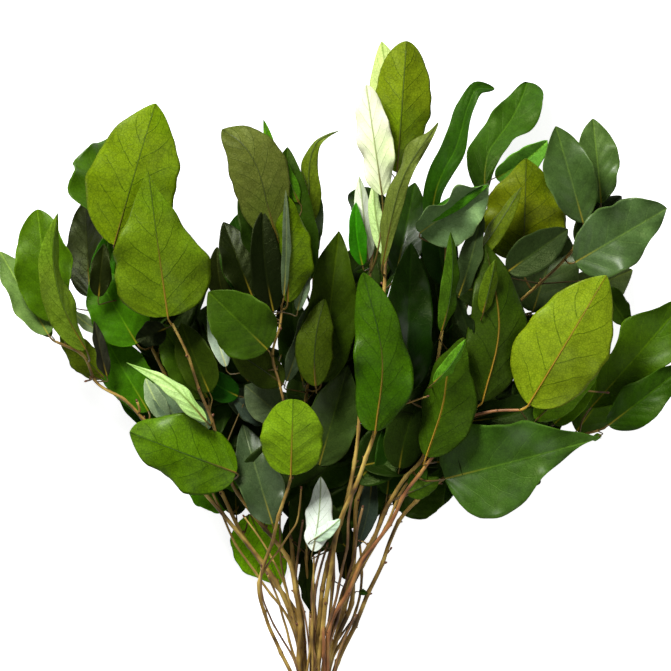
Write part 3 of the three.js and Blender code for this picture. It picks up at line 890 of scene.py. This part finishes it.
lobed = {"l1": 0.04, "j1": 0.12, "j2": 0.12, "g3": 0.05, "c4": 0.03}
orange_ribs = {"i1": 1.4, "i2": 1.0, "i3": 1.1, "g3": 0.6, "d6": 0.8, "c1": 0.6}
glossy = {
    "h3": 1.0, "h4": 0.9, "k1": 0.6, "k2": 0.5, "k3": 0.6, "k5": 0.6, "c5": 0.7,
    "b1": 0.3, "c1": 0.35, "i1": 0.3, "g1": 0.2, "c4": 0.3, "g3": 0.3,
    "h1": 0.4, "b2": 0.4, "f2": 0.9, "e3": 0.4, "a1": 0.4, "d5": 0.5, "j1": 0.3,
}  # the waxy shine of the older leaves
covered = []
for node in sorted(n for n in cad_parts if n.startswith("leaf_")):
    plan = read_leaf(node)
    name = node[5:]
    upper_seen = plan["up"][:, 2].mean() > 0
    if name in reshaped:
        plan["halves"] = reshaped[name][:: 1 if upper_seen else -1]
    body = leaf_body(
        plan,
        node,
        wave=0.0006 if name in ("c3", "d1") else 0.0024,
        lobes=lobed.get(name, 0),
        rib_reach=orange_ribs.get(name, 0.35),
        gloss=glossy.get(name, 0.1),
    )
    code = leaf_colours_and_light[name[0]].split()[int(name[1:]) - 1]
    leaf = leaf_piece(node + "_blade", [body], [both_shades(code, upper_seen)])
    covered.append(body["grid"].reshape(-1, 3))
    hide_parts(node)

# ---------------------------------------------------------------- small leaves
# The younger and half-hidden leaves that fill in between the large ones. Some curl, hang down or
# show only an edge. A few are painted nearly white, the highlight of leaves that face the light,
# some grey-green as painted sheen, and the darkest partly as painted shade.
free_outline = (0.55, 0.8)
free_fold = math.radians(14), math.radians(22)  # of the inner and outer part of each half
free_arch = 0.06  # share of the length


def free_leaf(foot, base, heading, length, width, rise, roll=0.0, under=False, bend=0.0):
    """The plan of a leaf from its base, heading (degrees from +Y towards +X) and sizes."""
    s = np.array([0, 0.02, 0.12, 0.25, 0.4, 0.55, 0.7, 0.82, 0.92, 1.0])
    turn = math.radians(heading)
    ahead = np.array([math.sin(turn), math.cos(turn), 0])
    right = np.array([math.cos(turn), -math.sin(turn), 0])
    hump = 4 * s * (1 - s) * length
    line = base + np.outer(s * length, ahead) + np.outer(bend * hump, right)
    line[:, 2] += s * rise + free_arch * hump
    tangent = np.gradient(line, s, axis=0)
    tangent /= np.linalg.norm(tangent, axis=1, keepdims=True)
    up = np.array([0, 0, 1]) - tangent * tangent[:, 2:]
    up /= np.linalg.norm(up, axis=1, keepdims=True)
    angle = math.radians(roll)
    up = (up * math.cos(angle) + np.cross(tangent, up) * math.sin(angle)) * (-1 if under else 1)
    side = np.cross(tangent, up)
    inner, outer = free_fold
    offsets = []
    for across in (-1, -0.5, 0.5, 1):
        near, far = width / 4, max(abs(across) - 0.5, 0) * width / 2
        sideways = math.copysign(near * math.cos(inner) + far * math.cos(outer), across)
        offsets.append(side[1:-1] * sideways + up[1:-1] * (near * math.sin(inner) + far * math.sin(outer)))
    start = line[0] - tangent[0] * min(0.006, np.linalg.norm(base - foot) / 3)
    stalk = np.array([foot, foot + (start - foot) * 0.35, foot + (start - foot) * 0.7, start])
    return leaf_plan(stalk, line, np.stack(offsets, axis=1), up[1:-1], *free_outline)


# Of the shades below, the near-white ones (c8dcc0, a4bc8c, eef2e0, d8e890, f4fff0, e8ffe8, d8f0b0, dcf0b0)
# are painted highlight; the grey-green ones (7c9470, 6a7a5c, 56644a, 6c7c64, 6c7c60, 39463a, 39463c) are
# partly painted sheen; the near-black ones (0e1604, 10180a and the dark gap fillers near the end) are partly
# painted shade.
small_leaves = [
    # stem and share, base (mm from there), heading, length, width, rise, roll, face up, shade
    ("d", 1.00, (-6, 32, -10), -6, 70, 12, 6, 0, "under", "5d9a10"),
    ("d", 0.95, (16, -2, -12), -7, 104, 38, 6, 10, "upper", "2a4406"),
    ("d", 1.00, (-14, -3, -14), -17, 57, 28, 2, 0, "upper", "23360a"),
    ("d", 0.90, (-6, 0, 4), -6, 76, 27, 4, 10, "upper", "0e1604"),
    ("d", 0.92, (-19, 0, -28), -11, 68, 42, -12, 0, "upper", "1f3d08"),
    ("d", 0.78, (3, -3, -4), -56, 49, 28, 2, 0, "under", "3c4c10"),
    ("d", 0.72, (-17, -7, -28), -50, 30, 16, 0, 0, "upper", "39463a"),
    ("d", 0.80, (-38, 2, -14), -14, 52, 14, 0, 10, "upper", "c8dcc0"),
    ("c", 0.72, (12, 44, 0), -58, 34, 22, 0, 0, "upper", "1a5008"),
    ("a", 1.00, (-3, 4, -6), -43, 31, 12, 0, 0, "upper", "4a7408"),
    ("a", 0.90, (7, -1, -12), -45, 47, 24, 0, 0, "under", "667a12"),
    ("a", 0.89, (8, 4, 6), -13, 43, 12, 0, 30, "upper", "2a2a20"),
    ("b", 0.92, (-23, 0, 26), 6, 40, 17, 2, 0, "upper", "1c2208"),
    ("b", 0.70, (-12, 1, 18), -28, 36, 15, 0, 0, "upper", "a4bc8c"),
    ("b", 0.70, (3, -4, 14), -40, 44, 22, 0, 20, "upper", "7c9470"),
    ("b", 0.68, (14, 2, 14), -25, 24, 14, 0, 0, "upper", "7c9470"),
    ("c", 0.98, (-8, 2, -26), -110, 24, 20, 0, 0, "upper", "10180a"),
    ("f", 0.97, (-3, -2, 4), -6, 62, 16, 3, 10, "under", "eef2e0"),
    ("f", 0.95, (-6, 2, 12), -6, 47, 14, 3, 0, "upper", "2f7a06"),
    ("g", 1.00, (-5, 13, -6), -4, 91, 36, 4, -15, "under", "d8e890"),
    ("l", 1.00, (7, 17, 36), 54, 48, 24, 2, 20, "upper", "78bc3c"),
    ("j", 1.00, (3, -3, 2), -110, 10, 5, 0, 0, "under", "4f7a10"),
    ("h", 0.80, (0, 7, 26), 5, 74, 16, 8, 30, "under", "466c0e"),
    ("h", 0.73, (-2, 4, 44), 36, 40, 12, 6, 30, "under", "6aa824"),
    ("h", 0.53, (12, 6, 8), 65, 27, 17, 0, 0, "under", "547a14"),
    ("h", 0.53, (16, 10, 6), 30, 20, 14, 0, 0, "upper", "3c6412"),
    ("f", 0.45, (-14, 0, 30), 6, 56, 22, -10, -10, "under", "f4fff0"),
    ("f", 0.45, (-13, 9, 31), 52, 25, 12, 2, -10, "under", "e8ffe8"),
    ("k", 0.50, (7, 3, -6), -168, 53, 16, -4, 10, "upper", "39463c"),
    ("j", 0.92, (-3, 12, 4), 43, 46, 18, 0, 0, "upper", "5f8a12"),
    ("e", 0.78, (-15, 9, 24), 18, 70, 15, 6, 20, "upper", "6a7a5c"),
    ("e", 0.83, (5, -14, 40), 6, 66, 30, 4, 0, "under", "46580c"),
    ("l", 0.60, (-12, -18, 34), 18, 67, 34, 4, 0, "upper", "2a400c"),
    ("l", 0.50, (-2, 4, 22), 5, 67, 26, 4, 0, "upper", "1f4008"),
    ("l", 0.88, (4, -28, 82), 13, 41, 14, 4, 20, "under", "5a7410"),
    ("l", 0.80, (6, -12, 74), -21, 38, 13, 2, -20, "upper", "1c2a10"),
    ("k", 0.33, (5, 4, 2), 100, 7, 5, 0, 0, "upper", "2c4a14"),
    ("h", 0.88, (10, -6, 8), 15, 66, 18, 4, -20, "upper", "3a4a2a"),
    ("l", 0.92, (-7, -9, 66), 33, 66, 16, 6, -30, "under", "5e7010"),
    ("i", 1.00, (12, -8, -8), 52, 60, 26, 0, 0, "under", "6fa014"),
    ("c", 0.80, (0, 17, 3), -22, 56, 30, 0, 0, "upper", "34450a"),
    ("d", 1.00, (13, 40, -1), -22, 38, 12, 2, 0, "under", "4c7a12"),
    ("d", 0.93, (1, -2, 13), 1, 79, 7, 12, -10, "upper", "56644a"),
    ("d", 0.88, (-10, 7, -10), -4, 33, 8, 0, 0, "upper", "6c7c64"),
    ("d", 0.90, (12, 1, 4), 15, 40, 10, 0, 0, "upper", "6c7c60"),
    ("h", 0.97, (-13, 6, 14), 60, 52, 13, 8, -10, "under", "58a01c"),
    ("i", 0.95, (-18, -8, -16), 74, 72, 28, -2, 0, "upper", "1e3408"),
    ("e", 0.80, (-4, 0, 14), -7, 66, 30, 0, 0, "upper", "1c3006"),
    ("h", 0.90, (1, -7, -14), -12, 60, 28, 0, 0, "upper", "16300a"),
    ("b", 0.90, (-26, 8, -8), 10, 52, 20, 0, 0, "upper", "2c6006"),
    ("d", 0.62, (-19, 42, -34), -56, 36, 24, 0, 0, "upper", "56664a"),
    ("e", 0.50, (12, -6, 8), -4, 60, 22, 4, 0, "upper", "2a4409"),
    # a near-black leaf hung between the stems: painted shade where the stems lie in shadow
    ("e", 0.50, (13, -10, 2), 176, 46, 13, -4, 0, "upper", "1c2c08"),
    ("f", 0.40, (16, -3, -12), -2, 54, 15, 0, 0, "upper", "1a2008"),
    ("k", 0.90, (50, -2, -10), 148, 36, 20, 0, 0, "upper", "34500c"),
    ("b", 0.90, (-27, -18, -4), -52, 28, 10, 0, 0, "upper", "d8f0b0"),
    ("a", 0.70, (-14, 21, -22), -41, 56, 26, 0, 0, "upper", "3c7004"),
    ("d", 0.90, (-41, 4, -34), -10, 46, 18, 0, 0, "upper", "1f2608"),
    ("h", 0.80, (1, 18, -25), -12, 60, 22, 0, 0, "upper", "1c2c0a"),
    ("h", 0.80, (12, -12, -32), -3, 46, 18, 0, 0, "upper", "182408"),
    ("i", 0.90, (6, 2, -34), 25, 30, 16, 0, 0, "upper", "182408"),
    ("e", 0.60, (-21, 33, 3), -26, 40, 24, 0, 0, "upper", "1c2c0a"),
    ("b", 0.80, (6, -13, -10), -36, 34, 18, 0, 0, "upper", "243808"),
    ("b", 0.90, (-6, 16, -8), -17, 46, 16, 0, 0, "upper", "2c5008"),
    ("k", 0.90, (-25, 9, 20), 55, 55, 30, -4, 0, "upper", "2c3c1c"),
    ("h", 0.80, (1, -5, -30), -8, 38, 16, 0, 0, "upper", "1c2c0a"),
    ("g", 0.90, (-1, -8, -6), -9, 58, 12, 0, 0, "under", "dcf0b0"),
    ("d", 0.70, (-30, 34, -50), -33, 34, 18, 0, 0, "upper", "182a08"),
    ("d", 0.80, (6, 24, -45), -3, 40, 15, 0, 0, "upper", "1a2c08"),
]
bodies, shades = [], []
for k, (stem, share, base, heading, length, width, rise, roll, seen, code) in enumerate(small_leaves):
    path = stem_paths["stem_" + stem]
    foot = path[min(int(share * len(path)), len(path) - 1)]
    sizes = np.array([length, width, rise]) * 0.001
    bend = random.Random(k).uniform(-0.06, 0.06)
    plan = free_leaf(foot, foot + np.array(base) * 0.001, heading, *sizes, roll, seen == "under", bend)
    bodies.append(leaf_body(plan, k, rows=28, half_columns=8, wave=0.0008, stalk_width=0.0007))
    shades.append(both_shades(code, seen == "upper"))
    covered.append(bodies[-1]["grid"].reshape(-1, 3))
for k in range(0, len(bodies), 10):
    leaf_piece(f"small_leaves_{k // 10 + 1}", bodies[k : k + 10], shades[k : k + 10])

# ---------------------------------------------------------------- inner leaves
# The dark leaves deep in the bunch, which close the gaps between the others. Their dark greens are
# partly their own colour and partly painted shade. They sit about every 9 mm along the upper two
# thirds of every stem, each turned the way that covers the most bare ground, under the larger leaves,
# and stay inside the bunch's outline.
cell = 0.003
map_edge = 0.06
spots = np.vstack(covered)
corner = spots[:, :2].min(axis=0) - map_edge
cells_each_way = np.ceil((spots[:, :2].max(axis=0) - corner + map_edge) / cell).astype(int)
ceiling = np.full(cells_each_way, np.inf)  # the underside of the leaves above each cell
np.minimum.at(ceiling, tuple(((spots[:, :2] - corner) / cell).astype(int).T), spots[:, 2])


def widened(mask, cells):
    wide = np.zeros_like(mask)
    for dx in range(-cells, cells + 1):
        for dy in range(-cells, cells + 1):
            if dx * dx + dy * dy <= cells * cells:
                wide |= np.roll(mask, (dx, dy), (0, 1))
    return wide


cover = np.isfinite(ceiling)
closed = ~widened(~widened(cover, 2), 2)
outside = np.zeros_like(closed)
outside[0, 0] = True
while True:
    wider = widened(outside, 1) & ~closed
    if (wider == outside).all():
        break
    outside = wider
clearings = [  # places between the leaves that stay open: x, y and radius in mm
    (89, 202, 10), (105, 245, 10), (137, 228, 9), (113, 183, 5), (71, 168, 3), (-195, 91, 9), (-204, 115, 6),
    (-145, 50, 4), (175, 115, 8), (2, 217, 14), (-4, 190, 8), (-3, 166, 6), (72, 239, 8), (-9, 149, 5),
    (60, 210, 8), (86, 192, 8), (14, 194, 8), (150, -34, 6),
]
centres = np.indices(outside.shape) * cell + corner[:, None, None]
for x, y, radius in clearings:
    outside |= np.hypot(*(centres - np.array([x, y])[:, None, None] * 0.001)) < radius * 0.001

inner_length, inner_width, inner_stalk = 0.078, 0.038, 0.007
base = np.array([0, inner_stalk, 0.001])
plan = free_leaf(np.zeros(3), base, 0, inner_length, inner_width, rise=-0.004)
model = leaf_body(plan, "inner", rows=18, half_columns=5)
leaf_model = make_piece("leaf_model", model["corners"], model["faces"])
right_way_out(leaf_model)
for key in ("blade", "veins"):
    give(leaf_model, key, model[key], "FLOAT_VECTOR")
kind = leaf_model.data.attributes.new("kind", "INT", "FACE")
kind.data.foreach_set("value", model["kinds"])

along = np.linspace(0.02, 0.98, 40)
half = np.linspace(-1, 1, 17)
blade_across = outline(along, *free_outline)[:, None] * half * inner_width / 2
blade_along = np.repeat(inner_stalk + along * inner_length, len(half))
blade_spots = np.stack([blade_across.reshape(-1), blade_along], axis=1)
filled = cover | outside
first_share, inner_step = 0.36, 0.009  # where on each stem they begin, and from one to the next
tries, least_gain = 60, 4  # of a place for each, and how many bare cells it has to cover
# dark greens: partly the leaves' own colour, partly painted shade deep in the bunch
inner_greens_and_shade = ("1c3006", "223c08", "2c4808", "182806", "2a3c10")
feet, turns, sizes, uppers, unders = [], [], [], [], []
draw = random.Random(31)
for path in stem_paths.values():
    for k in range(int(first_share * len(path)), len(path) - 2, int(inner_step / stem_step)):
        ahead = path[k + 1] - path[k]
        foot = path[k] - np.array([0, 0, 0.003])
        best = None
        for _ in range(tries):
            heading = math.atan2(ahead[0], ahead[1]) + draw.uniform(-1.7, 1.7)
            size = draw.uniform(0.6, 1.1)
            pitch = -math.atan2(min(draw.uniform(0.1, 0.8) * foot[2], 0.05), inner_length * size)
            way = np.array([[math.cos(heading), -math.sin(heading)], [math.sin(heading), math.cos(heading)]])
            place = foot[:2] + size * blade_spots * (1, math.cos(pitch)) @ way
            taken = tuple(((place - corner) / cell).astype(int).T)
            height = foot[2] + size * blade_spots[:, 1] * math.sin(pitch)
            if outside[taken].mean() > 0.01 or (height > ceiling[taken] - 0.001).mean() > 0.05:
                continue
            gain = len(set(zip(*(axis[~filled[taken]] for axis in taken))))
            if best is None or gain > best[0]:
                best = (gain, heading, size, pitch, taken)
        if best is None or best[0] < least_gain:
            continue
        _, heading, size, pitch, taken = best
        filled[taken] = True
        feet.append(foot)
        turns.append((pitch, draw.uniform(-0.35, 0.35), -heading))
        sizes.append(size)
        shade = np.array(linear(draw.choice(inner_greens_and_shade))[:3])
        uppers.append(shade)
        unders.append(shade * 1.6)

inner_tree, nodes, inputs, end = tree_with(
    "inner leaves", [("Leaf", "NodeSocketObject"), ("Size", "NodeSocketFloat")]
)
leaf_shape = add(nodes, "GeometryNodeObjectInfo", {"Object": inputs["Leaf"]}).outputs["Geometry"]
put = add(
    nodes,
    "GeometryNodeInstanceOnPoints",
    {
        "Points": inputs["Points"],
        "Instance": leaf_shape,
        "Rotation": of_point(nodes, "turn", "FLOAT_VECTOR"),
        "Scale": maths(nodes, "MULTIPLY", of_point(nodes, "size", "FLOAT"), inputs["Size"]),
    },
)
shape = add(nodes, "GeometryNodeRealizeInstances", {"Geometry": put.outputs["Instances"]}).outputs["Geometry"]
kind_of = of_point(nodes, "kind", "INT")
for k, skin in enumerate((leaf_upper, leaf_under, leaf_rib)):
    same = add(nodes, "FunctionNodeCompare", {2: kind_of, 3: k}, data_type="INT", operation="EQUAL")
    part = {"Geometry": shape, "Selection": same.outputs["Result"], "Material": skin}
    shape = add(nodes, "GeometryNodeSetMaterial", part).outputs["Geometry"]
plug(end, {"Shape": shape})

inner_leaves = grown(
    "inner_leaves",
    inner_tree,
    feet,
    {
        "turn": (turns, "FLOAT_VECTOR"),
        "size": (sizes, "FLOAT"),
        "upper_shade": (uppers, "FLOAT_VECTOR"),
        "under_shade": (unders, "FLOAT_VECTOR"),
        "marked": (np.ones(len(feet)), "FLOAT"),
    },
    {"Leaf": leaf_model, "Size": 1.0},
)
bpy.data.objects.remove(leaf_model)
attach(inner_leaves, "root")

# ---------------------------------------------------------------- the band
# A flat tan rubber band, wound three times round the stems above their cut ends.
rubber = speckled_material("rubber", 220, 4, [(0.3, "a5834f"), (0.7, "c4a473")], 0.6, strength=0.3)
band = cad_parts["rubber_band"]
band.data.materials.clear()
band.data.materials.append(rubber)

# ---------------------------------------------------------------- table and light
# A white table top and plain studio light: a lamp high on the upper left, a weak one opposite, and
# a dim white room.
table = make_piece("table", [(-4, -4, 0), (4, -4, 0), (4, 4, 0), (-4, 4, 0)], [(0, 1, 2, 3)], smooth=False)
white, nodes, shader = new_material("white_table")
plug(shader, {"Base Color": (0.9, 0.9, 0.9, 1), "Roughness": 0.8})
table.data.materials.append(white)
seen = add(nodes, "ShaderNodeLightPath").outputs["Is Camera Ray"]
glow = add(nodes, "ShaderNodeEmission", {"Strength": maths(nodes, "MULTIPLY", seen, 0.84)})
join = add(nodes, "ShaderNodeAddShader", {0: shader.outputs["BSDF"], 1: glow.outputs["Emission"]})
plug(nodes["Material Output"], {"Surface": join.outputs[0]})

world = bpy.data.worlds.new("room")
scene.world = world
world.use_nodes = True
plug(world.node_tree.nodes["Background"], {"Color": (1, 1, 1, 1), "Strength": 0.16})


def lamp(name, place, target, size, power):
    light = bpy.data.objects.new(name, bpy.data.lights.new(name, "AREA"))
    scene.collection.objects.link(light)
    light.data.shape = "SQUARE"
    light.data.size = size
    light.data.energy = power
    light.location = place
    light.rotation_euler = (Vector(target) - Vector(place)).to_track_quat("-Z", "Y").to_euler()


lamp("key", (-0.7, 1.3, 1.3), (0, 0.1, 0.08), 0.6, 50)
lamp("fill", (0.9, -0.6, 1.6), (0, 0.1, 0.05), 1.4, 6)
